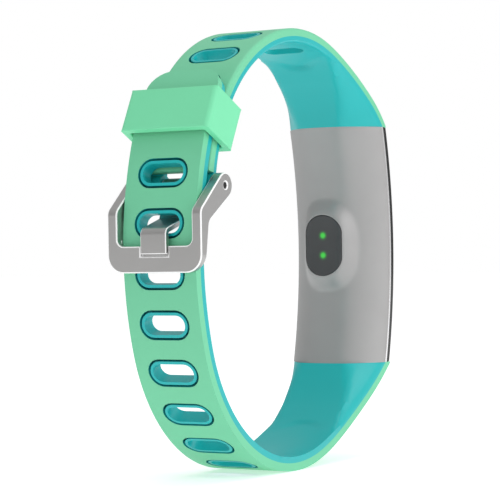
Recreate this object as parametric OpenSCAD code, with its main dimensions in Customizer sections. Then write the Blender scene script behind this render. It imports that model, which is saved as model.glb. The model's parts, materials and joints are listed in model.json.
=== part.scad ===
// Fitness tracker band, closed round the wrist. Millimetres, +Z up.
// The origin is the middle of the wrist opening. X runs along the wrist, +Y is the tracker side,
// -Y is the buckle side, and Z runs along the length of the tracker.

/* [Tracker] */
// Length of the tracker from strap seam to strap seam
tracker_len = 44; // [40:0.5:48]
// Width of the tracker across the glass
tracker_w = 19.7; // [19:0.1:20.5]
// Thickness of the tracker without the sensor bump
tracker_t = 8.4; // [8.2:0.1:9]
// Radius of the curved glass along the tracker
glass_r = 98; // [90:1:110]
// Thickness of the glass
glass_t = 1.6; // [1.2:0.1:2]
// Half width of the flat skin side of the case
skin_half_w = 4; // [3.5:0.1:4.5]
// Wall thickness of the case
case_wall = 0.9; // [0.7:0.1:1]

/* [Sensor] */
// Length of the sensor window
window_len = 11.4; // [10:0.1:13]
// Width of the sensor window
window_w = 7.7; // [7:0.1:8.5]
// Height of the sensor bump over the skin side
bump_h = 1.9; // [1.2:0.1:2.2]
// Distance between the two green lights
led_pitch = 3.7; // [3:0.1:4.5]

/* [Straps] */
// Total thickness of a strap
strap_t = 2.5; // [2.4:0.1:2.6]
// Thickness of the outer colour layer
skin_t = 1.4; // [1.2:0.1:1.5]
// Width of a strap at the buckle
strap_w = 14.2; // [13.8:0.1:14.3]
// Distance between slot centres along a strap
slot_pitch = 8.45; // [8.2:0.05:8.6]
// Length of the slot opening across the strap
slot_len = 8; // [7:0.1:8.4]
// Height of the slot opening along the strap
slot_h = 3.3; // [3.1:0.1:3.5]
// Rim of the slot liner
liner_rim = 0.62; // [0.4:0.01:0.7]
// Groove between the slot liner and the outer layer
liner_gap = 0.15; // [0.1:0.01:0.2]

/* [Buckle] */
// Outer width of the buckle frame
frame_w = 18.4; // [18.2:0.1:19]
// Height of the buckle's crossbar
bar_h = 4.4; // [4:0.1:4.8]
// Thickness of the crossbar
bar_t = 1.3; // [1.1:0.1:1.3]
// Radius of the buckle pin
pin_r = 0.6; // [0.5:0.05:0.7]
// Radial running clearance on the buckle pin
pin_gap = 0.05; // [0.02:0.01:0.08]
// Width of the prong
prong_w = 5; // [4.6:0.1:5.2]
// Thickness of the prong
prong_t = 0.9; // [0.8:0.05:1]

/* [Keeper] */
// Length of the keeper loop along the strap
keeper_len = 7.8; // [6:0.1:8]
// Wall thickness of the keeper loop
keeper_wall = 1.3; // [0.9:0.1:1.4]
// Clearance between the keeper loop and the straps
keeper_gap = 0.15; // [0.1:0.05:0.3]

/* [Hidden] */
$fn = 64;

// Tracker, worked out from the glass
half_len = tracker_len / 2;
glass_y = 33.5;
axis_y = glass_y - glass_r;
skin_r = glass_r - tracker_t;
frame_t = 0.5;
seat_r = glass_r - glass_t;
shell_r = seat_r - frame_t;
skin_y = axis_y + skin_r;
glass_half_w = tracker_w / 2 - 0.25;
flank_bulge = 1.5;
seam_y = axis_y + sqrt(glass_r * glass_r - half_len * half_len);
window_y = skin_y - bump_h;
window_fullness = 2.3;

// Strap centre lines: where the outer face starts, its heading, and its tangent arcs [radius, turn]
upper_start = [seam_y, half_len];
upper_heading = 112;
upper_arcs = [[20, 20], [31.8, 133]];
lower_start = [seam_y, -half_len];
lower_heading = 239;
lower_arcs = [[30, -17.2], [44, -25.2], [30.7, -89.6], [58, -35.7], [34.6, -23.3]];
arc_step = 3;
tip_round = 4.2;

// Lug: the thick end of a strap, with the tracker's own cross-section at the seam
lug_turn = 31;
lug_r = 20.8;
lug_heading = 14;
lug_bend_r = 37;
taper_from = 31;
taper_to = 14;
taper_power = 2.5;
tab_w = 7;
tab_len = 3.2;
tab_t = 2.2;
tab_y = 25.5;
strap_pin_r = 0.6;
strap_pin_len = 11;
strap_pin_z = half_len + 1.7;

// Slot places, counted along the outer face from the seam
upper_first_slot = 27.2;
upper_slots = 6;
lower_first_slot = 47.6;
lower_slots = 8;
lower_len = arc_length(lower_arcs);

// Buckle, about its pin
pin_y = -25.9;
pin_z = 9.95;
eye_r = 2.1;
knuckle_r = 1.95;
bar_front_y = -33.6;
bar_bottom_z = -4.3;
bar_top_z = bar_bottom_z + bar_h;
side_t = (frame_w - strap_w - 0.5) / 2;
side_in = frame_w / 2 - side_t;
side_bend_z = 5.9;
side_back_bottom = [bar_front_y + bar_t, bar_bottom_z];
side_back_bend = [-31.1, 4];
knuckle_notch = prong_w + 0.5;
prong_tip_z = -1.2;
prong_front_y = bar_front_y - 0.3;
prong_path = [[prong_front_y + prong_t / 2, prong_tip_z], [prong_front_y + prong_t / 2, 2.6],
    [-27.9, 4.35], [pin_y, pin_z]];
recess_d = 0.66;
mint_end_turn = 5.5;

// Keeper, at a turn about the centre of the upper strap's long arc
keeper_turn = 26.9;
keeper_sag = 0.25;
keeper_lift = 0.25;

// Inside the tracker
board_y = 28;
board_t = 0.8;
post_x = 4.5;
post_z = [-8, 3.4];
motor_r = 4;
motor_z = -14.3;
motor_y0 = 25.6;
motor_t = 2.2;

// ---- Plane geometry ----

function dir(a) = [cos(a), sin(a)];
function side(t) = t < 0 ? -1 : 1;
function centre(p, a, r, t) = p + side(t) * r * [-sin(a), cos(a)];
function on_arc(p, a, r, t, turned, off) =
    centre(p, a, r, t) + side(t) * (r - off) * [sin(a + turned), -cos(a + turned)];
function arc_end(p, a, r, t) = on_arc(p, a, r, t, t, 0);

// Points along a chain of tangent arcs, moved in by off towards the wrist
function chain(p, a, arcs, off, k = 0) = k == len(arcs) ? [] :
    let (r = arcs[k][0], t = arcs[k][1], n = ceil(abs(t) / arc_step))
    concat([for (i = [(k == 0 ? 0 : 1) : n]) on_arc(p, a, r, t, t * i / n, off)],
        chain(arc_end(p, a, r, t), a + t, arcs, off, k + 1));

// Place and heading at a distance s along a chain: [y, z, heading]
function along(p, a, arcs, s, k = 0) =
    let (r = arcs[k][0], t = arcs[k][1], l = r * abs(t) * PI / 180)
    s > l && k < len(arcs) - 1 ? along(arc_end(p, a, r, t), a + t, arcs, s - l, k + 1) :
    let (turned = side(t) * s / r * 180 / PI, q = on_arc(p, a, r, t, turned, 0)) [q[0], q[1], a + turned];

function arc_length(arcs, k = 0) =
    k == len(arcs) ? 0 : arcs[k][0] * abs(arcs[k][1]) * PI / 180 + arc_length(arcs, k + 1);
function flip(points) = [for (i = [len(points) - 1 : -1 : 0]) points[i]];
function upper(off) = chain(upper_start, upper_heading, upper_arcs, off);
function lower(off) = chain(lower_start, lower_heading, lower_arcs, off);

// Centre of the upper strap's long arc
upper_bend = arc_end(upper_start, upper_heading, upper_arcs[0][0], upper_arcs[0][1]);
loop_centre = centre(upper_bend, upper_heading + upper_arcs[0][1], upper_arcs[1][0], 1);

// Point where a line from p touches the circle round c, on the left (1) or right (-1) of the line
function touch(p, c, r, left) =
    let (d = c - p, l = norm(d), a = atan2(d[1], d[0]) + left * asin(r / l)) p + sqrt(l * l - r * r) * dir(a);

// Half width of the tracker and of a lug at a depth under the outer face: a bulging flank
function flank(depth) =
    let (f = min(1, max(0, (tracker_t - depth) / (shell_r - skin_r))))
    skin_half_w + (tracker_w / 2 - skin_half_w) * f + flank_bulge * f * (1 - f);

// ---- Helpers ----

// A shape drawn in Y and Z, as thick as w along X
module slab(w) {
    rotate([90, 0, 90]) linear_extrude(height = w, center = true) children();
}

// A cylinder along X
module rod(r, l, y, z) {
    translate([0, y, z]) rotate([0, 90, 0]) cylinder(r = r, h = l, center = true);
}

module block(x, y, z, at) {
    translate(at) cube([x, y, z], center = true);
}

// A ring about the tracker's long curvature, between two radii
module curved_plate(r_in, r_out, half_w, half_z) {
    intersection() {
        difference() {
            translate([0, axis_y, 0]) rotate([0, 90, 0]) cylinder(r = r_out, h = 2 * half_w, center = true, $fn = 256);
            translate([0, axis_y, 0]) rotate([0, 90, 0])
                cylinder(r = r_in, h = 2 * half_w + 1, center = true, $fn = 256);
        }
        block(2 * half_w + 1, 40, 2 * half_z, [0, 25, 0]);
    }
}

// The tracker's dome section turned about the long curvature, inset all round
module dome(inset, top_r, half_z) {
    low_r = skin_r + inset;
    steps = 8;
    right = concat([[top_r, tracker_w / 2 - 1.25 * inset]], [for (i = [0 : steps])
        let (r = shell_r - (shell_r - low_r) * i / steps) [r, flank(glass_r - r) - 1.25 * inset]]);
    intersection() {
        translate([0, axis_y, 0]) rotate([0, 90, 0])
            rotate_extrude($fn = 256) polygon(concat(right, [for (p = flip(right)) [p[0], -p[1]]]));
        block(40, 40, 2 * half_z, [0, 25, 0]);
    }
}

// A slightly full ellipse, long in Z, thick in Y from y0 to y1
function fuller(c) = sign(c) * pow(abs(c), 2 / window_fullness);
module oval(w, l, y0, y1) {
    translate([0, y1, 0]) rotate([90, 0, 0]) linear_extrude(height = y1 - y0)
        polygon([for (a = [0 : 7.5 : 359]) [w / 2 * fuller(cos(a)), l / 2 * fuller(sin(a))]]);
}

// A straight-sided slot through a strap at a place on its outer face, between two depths
module slot_cutter(at, l, h, d0, d1, inner_side) {
    translate([0, at[0], at[1]]) rotate([at[2], 0, 0]) translate([0, 0, inner_side * (d0 + d1) / 2])
        linear_extrude(height = d1 - d0, center = true) {
            square([l - h, h], center = true);
            for (s = [-1, 1]) translate([s * (l - h) / 2, 0]) circle(d = h);
        }
}

// The plan outline of a strap: wide at the tracker, narrow at the buckle
module strap_plan() {
    wide = tracker_w / 2;
    slim = strap_w / 2;
    steps = 8;
    edge = [for (i = [0 : steps]) let (f = i / steps)
        [slim + (wide - slim) * pow(f, taper_power), taper_to + (taper_from - taper_to) * f]];
    right = concat([[slim, -60]], edge, [[wide, 45]]);
    translate([0, 0, -60]) linear_extrude(height = 120)
        polygon(concat(right, [for (p = flip(right)) [-p[0], p[1]]]));
}

// The thick wedge of a lug under the outer layer, up is 1 for the upper strap and -1 for the lower
module lug(up) {
    start = up > 0 ? upper_start : lower_start;
    heading = up > 0 ? upper_heading : lower_heading;
    arcs = up > 0 ? upper_arcs : lower_arcs;
    skin_start = [axis_y + sqrt(skin_r * skin_r - half_len * half_len), up * half_len];
    inner = [for (i = [0 : 8]) on_arc(skin_start, up * (90 + lug_heading), lug_r, up * lug_turn,
        up * lug_turn * i / 8, 0)];
    outer = [for (i = [0 : 12]) let (q = along(start, heading, arcs, 20 * i / 12),
        n = up * [-sin(q[2]), cos(q[2])]) [q[0], q[1]] + n * (strap_t - 0.3)];
    bend = start + up * lug_bend_r * [-sin(heading), cos(heading)];
    steps = 6;
    depth = tracker_t;
    right = [for (i = [0 : steps]) let (d = depth * i / steps)
        [lug_bend_r - d, flank(d)]];
    intersection() {
        slab(30) polygon(concat(inner, flip(outer)));
        translate([0, bend[0], bend[1]]) rotate([0, 90, 0])
            rotate_extrude($fn = 180) polygon(concat([[lug_bend_r + 1, tracker_w / 2]], right,
                [for (p = flip(right)) [p[0], -p[1]]], [[lug_bend_r + 1, -tracker_w / 2]]));
    }
}

// The space between the two seams, which the straps stay out of
module tracker_room() {
    block(40, 30, tracker_len, [0, 30, 0]);
}

// Room in a lug for the case's end tab and the strap pin
module lug_socket(up) {
    block(tab_w + 0.1, tab_t + 0.1, 2 * tab_len + 0.1, [0, tab_y, up * half_len]);
    rod(strap_pin_r, strap_pin_len, tab_y, up * strap_pin_z);
}

// ---- Tracker ----

module rear_case() {
    color("silver") difference() {
        union() {
            dome(0, shell_r, half_len);
            oval(window_w + 2.6, window_len + 2.8, skin_y - bump_h * 0.55, skin_y + 1);
            oval(window_w + 1.4, window_len + 1.5, window_y, skin_y + 1);
            for (up = [-1, 1]) block(tab_w, tab_t, tab_len + 1, [0, tab_y, up * (half_len + tab_len / 2 - 0.5)]);
        }
        difference() {
            dome(case_wall, shell_r + 1, half_len - 1.2);
            for (x = [-1, 1], z = post_z) translate([x * post_x, board_y - 6, z]) rotate([-90, 0, 0])
                cylinder(r = 0.8, h = 6);
        }
        oval(window_w + 0.04, window_len + 0.04, window_y - 1, window_y + 0.9);
        oval(window_w - 1.6, window_len - 1.6, window_y - 1, skin_y + 3);
        for (up = [-1, 1]) rod(strap_pin_r + 0.02, 20, tab_y, up * strap_pin_z);
        for (x = [-1, 1], z = post_z) translate([x * post_x, board_y - 1.8, z]) rotate([-90, 0, 0])
            cylinder(r = 0.35, h = 3);
    }
}

module front_frame() {
    color("gainsboro") difference() {
        curved_plate(shell_r, seat_r, tracker_w / 2, half_len);
        curved_plate(shell_r - 1, seat_r + 1, tracker_w / 2 - 1.7, half_len - 1.6);
    }
}

module case_seal() {
    color("dimgray") difference() {
        curved_plate(shell_r - 0.4, shell_r + 0.3, tracker_w / 2 - 1.75, half_len - 1.65);
        curved_plate(shell_r - 1, seat_r + 1, tracker_w / 2 - 2.2, half_len - 2.2);
    }
}

module display_glass() {
    color("black") curved_plate(seat_r, glass_r, glass_half_w, half_len);
}

module display_panel() {
    color("midnightblue") curved_plate(seat_r - 0.9, seat_r, 7.4, 16);
}

module display_flex() {
    color("darkorange") {
        block(4, 0.15, 2.4, [0, 29.5, -16.4]);
        block(4, 0.7, 0.2, [0, 29.15, -17.5]);
    }
}

module sensor_window() {
    color("#3a3a3c") oval(window_w, window_len, window_y, window_y + 0.9);
}

module light_baffle() {
    color("#202020") difference() {
        oval(window_w - 1.7, window_len - 1.7, window_y + 0.9, window_y + 1.9);
        for (z = [-1, 0, 1]) block(z == 0 ? 2.2 : 1.8, 3, z == 0 ? 1.6 : 1.3, [0, window_y + 1.4, z * led_pitch / 2]);
    }
}

module green_leds() {
    color("lime") for (z = [-1, 1]) block(1.4, 0.6, 1, [0, window_y + 1.6, z * led_pitch / 2]);
}

module photodiode() {
    color("#30303a") block(1.8, 0.5, 1.3, [0, window_y + 1.65, 0]);
}

module sensor_board() {
    color("darkgreen") oval(window_w - 1.8, window_len - 1.8, window_y + 1.9, window_y + 2.5);
}

module sensor_flex() {
    color("darkorange") block(2, board_y - window_y - 2.5, 0.15, [0, (board_y + window_y + 2.5) / 2, 3.6]);
}

module main_board() {
    color("seagreen") difference() {
        block(11.4, board_t, 24.3, [0, board_y + board_t / 2, -7.35]);
        for (x = [-1, 1], z = post_z) translate([x * post_x, board_y - 1, z]) rotate([-90, 0, 0])
            cylinder(r = 0.45, h = 3);
    }
}

module board_chips() {
    y = board_y + board_t;
    color("#2b2b2b") {
        block(3.6, 0.6, 4, [-1.6, y + 0.3, -1.6]);
        block(2.2, 0.5, 3, [1.9, y + 0.25, -1.4]);
        block(2, 0.5, 2, [1.9, y + 0.25, -4.4]);
        block(2.6, 0.5, 2, [2, y + 0.25, -11]);
        block(1.2, 0.4, 1.6, [-2.6, y + 0.2, -12]);
    }
}

module shield_can() {
    y = board_y + board_t;
    color("lightgray") difference() {
        block(7.2, 0.9, 7.6, [0, y + 0.45, -2.6]);
        block(6.8, 1.4, 7.2, [0, y, -2.6]);
    }
}

module board_screws() {
    color("gray") for (x = [-1, 1], z = post_z) translate([x * post_x, board_y, z]) rotate([-90, 0, 0]) {
        translate([0, 0, -1.6]) cylinder(r = 0.34, h = 1.7 + board_t);
        translate([0, 0, board_t]) cylinder(r = 0.75, h = 0.35);
    }
}

module battery() {
    color("#8c8c90") block(9.2, 2.5, 14, [0, 27.85, 12.6]);
}

module antenna() {
    color("goldenrod") block(6, 0.2, 1.4, [0, board_y + board_t + 0.1, -18.7]);
}

module motor_housing() {
    color("silver") difference() {
        translate([0, motor_y0, motor_z]) rotate([-90, 0, 0]) cylinder(r = motor_r, h = motor_t);
        translate([0, motor_y0 + 0.2, motor_z]) rotate([-90, 0, 0]) cylinder(r = motor_r - 0.2, h = motor_t - 0.4);
    }
}

module motor_shaft() {
    color("gray") translate([0, motor_y0 + 0.2, motor_z]) rotate([-90, 0, 0]) cylinder(r = 0.4, h = motor_t - 0.4);
}

module motor_weight() {
    color("#6b5a3a") translate([0, motor_y0 + 0.6, motor_z]) rotate([-90, 0, 0]) difference() {
        union() {
            cylinder(r = 1.2, h = motor_t - 1.2);
            intersection() {
                cylinder(r = motor_r - 0.5, h = motor_t - 1.2);
                translate([-motor_r, 0, 0]) cube([2 * motor_r, motor_r, motor_t]);
            }
        }
        translate([0, 0, -1]) cylinder(r = 0.43, h = motor_t + 2);
    }
}

// ---- Straps ----

module upper_slots(l, h, d0, d1) {
    for (i = [0 : upper_slots - 1]) slot_cutter(along(upper_start, upper_heading, upper_arcs,
        upper_first_slot + i * slot_pitch), l, h, d0, d1, 1);
}

module lower_slots(l, h, d0, d1) {
    for (i = [0 : lower_slots - 1]) slot_cutter(along(lower_start, lower_heading, lower_arcs,
        lower_first_slot + i * slot_pitch), l, h, d0, d1, -1);
}

// What the rounded tip of the lower strap leaves out at its two corners
module tip_corners() {
    tip = along(lower_start, lower_heading, lower_arcs, lower_len);
    half = strap_w / 2;
    translate([0, tip[0], tip[1]]) rotate([tip[2], 0, 0]) linear_extrude(height = 12, center = true)
        difference() {
            translate([0, 0.5 - tip_round / 2]) square([strap_w + 2, tip_round + 1], center = true);
            for (x = [-1, 1]) translate([x * (half - tip_round), -tip_round]) circle(r = tip_round);
            translate([0, -tip_round / 2 - 0.5]) square([strap_w - 2 * tip_round, tip_round + 1], center = true);
        }
}

// The outer layer of the upper strap stops short of the buckle's pin
module upper_mint_end() {
    last = upper_arcs[1][1] - mint_end_turn;
    a = upper_heading + upper_arcs[0][1] + last;
    q = on_arc(upper_bend, upper_heading + upper_arcs[0][1], upper_arcs[1][0], 1, last, 0);
    translate([0, q[0], q[1]]) rotate([a, 0, 0]) translate([0, 5, 0]) cube([30, 10, 12], center = true);
}

module upper_strap_outer() {
    color("aquamarine") difference() {
        intersection() {
            slab(30) polygon(concat(upper(0), flip(upper(skin_t))));
            strap_plan();
        }
        upper_slots(slot_len + 2 * (liner_rim + liner_gap), slot_h + 2 * (liner_rim + liner_gap), -1, skin_t + 1);
        upper_mint_end();
        tracker_room();
    }
}

module upper_strap_inner() {
    color("darkturquoise") difference() {
        union() {
            intersection() {
                union() {
                    slab(30) polygon(concat(upper(skin_t), flip(upper(strap_t))));
                    lug(1);
                }
                strap_plan();
            }
            upper_slots(slot_len + 2 * liner_rim, slot_h + 2 * liner_rim, 0.1, strap_t - 0.1);
            rod(knuckle_r, strap_w, pin_y, pin_z);
        }
        difference() {
            slab(31) polygon(concat(upper(-2), flip(upper(skin_t))));
            upper_slots(slot_len + 2 * liner_rim, slot_h + 2 * liner_rim, 0.1, strap_t);
            rod(knuckle_r, strap_w, pin_y, pin_z);
        }
        upper_slots(slot_len, slot_h, -1, strap_t + 2);
        rod(pin_r + pin_gap, 20, pin_y, pin_z);
        block(knuckle_notch, 6, 6, [0, pin_y, pin_z - 0.4]);
        lug_socket(1);
        tracker_room();
    }
}

module lower_strap_outer() {
    color("aquamarine") difference() {
        intersection() {
            slab(30) polygon(concat(lower(0), flip(lower(skin_t))));
            strap_plan();
        }
        lower_slots(slot_len + 2 * (liner_rim + liner_gap), slot_h + 2 * (liner_rim + liner_gap), -1, skin_t + 1);
        tip_corners();
        tracker_room();
    }
}

module lower_strap_inner() {
    color("darkturquoise") difference() {
        union() {
            intersection() {
                union() {
                    slab(30) polygon(concat(lower(skin_t), flip(lower(strap_t))));
                    lug(-1);
                }
                strap_plan();
            }
            lower_slots(slot_len + 2 * liner_rim, slot_h + 2 * liner_rim, 0.1, strap_t - 0.1);
        }
        lower_slots(slot_len, slot_h, -1, strap_t + 2);
        tip_corners();
        lug_socket(-1);
        tracker_room();
    }
}

module strap_pins() {
    color("lightgray") for (up = [-1, 1]) rod(strap_pin_r, strap_pin_len, tab_y, up * strap_pin_z);
}

module strap_keeper() {
    in_r = upper_arcs[1][0] - strap_t - keeper_gap - keeper_sag;
    out_r = lower_arcs[4][0] + keeper_gap + keeper_lift;
    mid = (in_r + out_r) / 2;
    open_w = strap_w + 2 * keeper_gap + 0.3;
    open_t = out_r - in_r;
    color("aquamarine") translate([0, loop_centre[0], loop_centre[1]]) rotate([-keeper_turn, 0, 0])
        translate([0, -mid, 0]) difference() {
            block(open_w + 2 * keeper_wall, open_t + 2 * keeper_wall, keeper_len, [0, 0, 0]);
            block(open_w, open_t, keeper_len + 1, [0, 0, 0]);
        }
}

// ---- Buckle ----

module buckle_frame() {
    top = touch([bar_front_y, side_bend_z], [pin_y, pin_z], eye_r, 1);
    low = touch(side_back_bend, [pin_y, pin_z], eye_r, -1);
    color("gainsboro") difference() {
        union() {
            for (s = [-1, 1]) translate([s * (side_in + side_t / 2), 0, 0]) {
                slab(side_t) polygon([[bar_front_y, bar_bottom_z], [bar_front_y, side_bend_z], top,
                    [pin_y, pin_z], low, side_back_bend, side_back_bottom]);
                rod(eye_r, side_t, pin_y, pin_z);
            }
            block(frame_w - 1, bar_t, bar_h, [0, bar_front_y + bar_t / 2, bar_bottom_z + bar_h / 2]);
        }
        rod(pin_r, 30, pin_y, pin_z);
        block(prong_w + 0.5, 2 * recess_d, 10, [0, bar_front_y, prong_tip_z + 4.6]);
    }
}

module buckle_prong() {
    half = prong_t / 2;
    color("gainsboro") difference() {
        union() {
            for (i = [0 : 2]) let (p = prong_path[i], q = prong_path[i + 1], d = (q - p) / norm(q - p),
                n = [-d[1], d[0]] * half) slab(prong_w) polygon([p + n, q + n, q - n, p - n]);
            for (i = [1, 2]) rod(half, prong_w, prong_path[i][0], prong_path[i][1]);
            rod(1.45, prong_w, pin_y, pin_z);
        }
        rod(pin_r + pin_gap, prong_w + 1, pin_y, pin_z);
    }
}

module buckle_pin() {
    color("#303030") rod(pin_r, frame_w - 0.6, pin_y, pin_z);
}

rear_case();
front_frame();
case_seal();
display_glass();
display_panel();
display_flex();
sensor_window();
light_baffle();
green_leds();
photodiode();
sensor_board();
sensor_flex();
main_board();
board_chips();
shield_can();
board_screws();
battery();
antenna();
motor_housing();
motor_shaft();
motor_weight();
upper_strap_outer();
upper_strap_inner();
lower_strap_outer();
lower_strap_inner();
strap_pins();
strap_keeper();
buckle_frame();
buckle_prong();
buckle_pin();
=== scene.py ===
import json
import math

import bmesh
import bpy
from mathutils import Matrix, Vector


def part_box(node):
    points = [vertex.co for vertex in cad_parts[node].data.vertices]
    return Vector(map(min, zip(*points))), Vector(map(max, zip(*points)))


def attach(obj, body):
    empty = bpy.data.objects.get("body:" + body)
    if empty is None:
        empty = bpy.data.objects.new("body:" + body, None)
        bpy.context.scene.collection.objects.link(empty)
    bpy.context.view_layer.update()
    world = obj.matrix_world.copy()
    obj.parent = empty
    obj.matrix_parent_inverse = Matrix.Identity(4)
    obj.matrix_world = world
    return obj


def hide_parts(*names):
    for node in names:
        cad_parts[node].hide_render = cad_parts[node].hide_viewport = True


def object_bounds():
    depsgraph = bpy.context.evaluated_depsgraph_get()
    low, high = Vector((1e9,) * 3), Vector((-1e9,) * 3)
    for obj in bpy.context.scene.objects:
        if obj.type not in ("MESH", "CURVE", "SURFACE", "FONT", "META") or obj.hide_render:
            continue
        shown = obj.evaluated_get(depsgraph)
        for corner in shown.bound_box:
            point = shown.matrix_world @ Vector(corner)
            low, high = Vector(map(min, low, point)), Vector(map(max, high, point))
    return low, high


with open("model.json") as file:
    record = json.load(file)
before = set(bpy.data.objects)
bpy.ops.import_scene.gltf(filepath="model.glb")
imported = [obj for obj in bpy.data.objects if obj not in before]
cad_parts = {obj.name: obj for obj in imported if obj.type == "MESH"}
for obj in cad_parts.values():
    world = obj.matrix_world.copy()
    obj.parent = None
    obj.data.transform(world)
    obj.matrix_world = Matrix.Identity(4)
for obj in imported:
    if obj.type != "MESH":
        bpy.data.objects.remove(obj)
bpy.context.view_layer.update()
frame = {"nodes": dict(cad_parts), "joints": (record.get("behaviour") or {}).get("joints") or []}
mm = 0.001
hair = 0.01 * mm  # places closer than this are the same place
foldAngle = 0.9  # radians, and a sharper fold than this gets a bevel


def boxMiddle(node):
    low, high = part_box(node)
    return (low + high) / 2


# the camera looks into the loop from the buckle's side
cameraSetup = {"turn": 31.08, "tilt": -0.14, "roll": -0.9, "distance": 362.4 * mm,
               "aim": (0, -3.2 * mm, -0.7 * mm), "lens": 148.1}


def aimCamera(setup):
    turn, tilt = math.radians(setup["turn"]), math.radians(setup["tilt"])
    back = Vector((math.sin(turn) * math.cos(tilt), -math.cos(turn) * math.cos(tilt), math.sin(tilt)))
    data = bpy.data.cameras.new("camera")
    data.lens = setup["lens"]
    data.sensor_width = 36
    data.clip_start, data.clip_end = 0.01, 10
    camera = bpy.data.objects.new("camera", data)
    bpy.context.scene.collection.objects.link(camera)
    spin = Matrix.Rotation(math.radians(setup["roll"]), 4, "Z")
    turned = (-back).to_track_quat("-Z", "Y").to_matrix().to_4x4()
    camera.matrix_world = Matrix.Translation(Vector(setup["aim"]) + back * setup["distance"]) @ turned @ spin
    bpy.context.scene.camera = camera


aimCamera(cameraSetup)
print("camera placed")


def clearSelection():
    if bpy.context.object and bpy.context.object.mode != "OBJECT":
        bpy.ops.object.mode_set(mode="OBJECT")
    bpy.ops.object.select_all(action="DESELECT")


def makeActive(piece):
    clearSelection()
    piece.select_set(True)
    bpy.context.view_layer.objects.active = piece


def newPiece(name, primitive, **place):
    clearSelection()
    primitive(**place)
    piece = bpy.context.object
    piece.name = piece.data.name = name
    bpy.ops.object.transform_apply(location=True, rotation=True, scale=True)
    return piece


def pick(piece, test, kind="FACE"):
    makeActive(piece)
    bpy.ops.object.mode_set(mode="EDIT")
    bpy.ops.mesh.select_mode(type=kind)
    bpy.ops.mesh.select_all(action="DESELECT")
    mesh = bmesh.from_edit_mesh(piece.data)
    for part in {"FACE": mesh.faces, "EDGE": mesh.edges, "VERT": mesh.verts}[kind]:
        if test(part):
            part.select_set(True)
    mesh.select_flush_mode()
    bmesh.update_edit_mesh(piece.data)


def done():
    bpy.ops.object.mode_set(mode="OBJECT")


def middle(part):
    return sum((v.co for v in part.verts), Vector()) / len(part.verts)


def modify(piece, kind, **settings):
    makeActive(piece)
    modifier = piece.modifiers.new(kind.lower(), kind)
    for key, value in settings.items():
        setattr(modifier, key, value)
    bpy.ops.object.modifier_apply(modifier=modifier.name)


def cut(piece, tool, operation="DIFFERENCE"):
    modify(piece, "BOOLEAN", object=tool, operation=operation, solver="EXACT")
    bpy.data.objects.remove(tool, do_unlink=True)


def tidyMesh(piece, angle=35):
    makeActive(piece)
    bpy.ops.object.mode_set(mode="EDIT")
    bpy.ops.mesh.select_all(action="SELECT")
    bpy.ops.mesh.remove_doubles(threshold=0.002 * mm)
    bpy.ops.mesh.normals_make_consistent(inside=False)
    bpy.ops.mesh.select_all(action="DESELECT")
    done()
    bpy.ops.object.shade_smooth_by_angle(angle=math.radians(angle))


def finishMesh(piece):  # flat faces stay flat, and only the bevels between them turn
    tidyMesh(piece)
    modify(piece, "WEIGHTED_NORMAL", keep_sharp=True, weight=60)


def dress(piece, body, slotName, *nodes):
    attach(piece, body)
    if nodes:
        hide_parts(*nodes)


class Value:
    def __init__(self, paint, socket):
        self.paint, self.socket = paint, socket

    def maths(self, operation, *others):
        return self.paint.node("ShaderNodeMath", {"operation": operation}, dict(enumerate((self,) + others)))

    def __add__(self, other):
        return self.maths("ADD", other)

    def __mul__(self, other):
        return self.maths("MULTIPLY", other)

    def __sub__(self, other):
        return self.maths("SUBTRACT", other)

    def __rsub__(self, other):
        return self.paint.node("ShaderNodeMath", {"operation": "SUBTRACT"}, {0: other, 1: self})

    def __pow__(self, other):
        return self.maths("POWER", other)

    __radd__ = __add__
    __rmul__ = __mul__


class Paint:
    def __init__(self, name, colour, roughness=0.5, metallic=0.0, **shader):
        self.material = bpy.data.materials.new(name)
        self.material.use_nodes = True
        self.tree = self.material.node_tree
        self.shader = self.tree.nodes["Principled BSDF"]
        self.colour = tuple(colour) + (1,)
        self.set("Base Color", self.colour)
        self.set("Roughness", roughness)
        self.set("Metallic", metallic)
        for key, value in shader.items():
            self.set(key.replace("_", " "), value)
        self.place = self.node("ShaderNodeTexCoord", out="Object")

    def node(self, kind, settings=None, values=None, out=0):
        node = self.tree.nodes.new(kind)
        for key, value in (settings or {}).items():
            setattr(node, key, value)
        for key, value in (values or {}).items():
            if isinstance(value, Value):
                self.tree.links.new(value.socket, node.inputs[key])
            else:
                node.inputs[key].default_value = value
        return Value(self, node.outputs[out])

    def set(self, socket, value):
        if isinstance(value, Value):
            self.tree.links.new(value.socket, self.shader.inputs[socket])
        else:
            self.shader.inputs[socket].default_value = value

    def noise(self, size, detail=3, rough=0.5):
        return self.node("ShaderNodeTexNoise", {},
                         {"Vector": self.place, "Scale": 1 / size, "Detail": detail, "Roughness": rough})

    def mix(self, factor, low, high):
        return self.node("ShaderNodeMix", {"data_type": "RGBA"}, {0: factor, 6: low, 7: high}, out=2)

    def mottle(self, factor, spread):
        low = tuple(c * (1 - spread) for c in self.colour[:3]) + (1,)
        high = tuple(min(1, c * (1 + spread)) for c in self.colour[:3]) + (1,)
        self.set("Base Color", self.mix(factor, low, high))

    def bump(self, height, depth, strength=1.0):
        self.set("Normal", self.node("ShaderNodeBump", {},
                                     {"Height": height, "Distance": depth, "Strength": strength}))


def silicone(name, colour, roughness):
    paint = Paint(name, colour, roughness, Specular_IOR_Level=0.42)
    cloud, grain = paint.noise(9 * mm, 2), paint.noise(0.16 * mm, 2)
    paint.mottle(cloud, 0.035)
    paint.set("Roughness", (cloud - 0.5) * 0.12 + roughness)
    paint.bump(grain, 0.012 * mm, 0.5)
    return paint.material


def satinMetal(name, colour, roughness, metallic, grainSize=0.09 * mm, depth=0.006 * mm):
    paint = Paint(name, colour, roughness, metallic)
    cloud, grain = paint.noise(5 * mm, 2), paint.noise(grainSize, 2)
    paint.mottle(cloud, 0.04)
    paint.set("Roughness", (grain - 0.5) * 0.16 + roughness)
    paint.bump(grain, depth, 0.6)
    return paint.material


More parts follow.
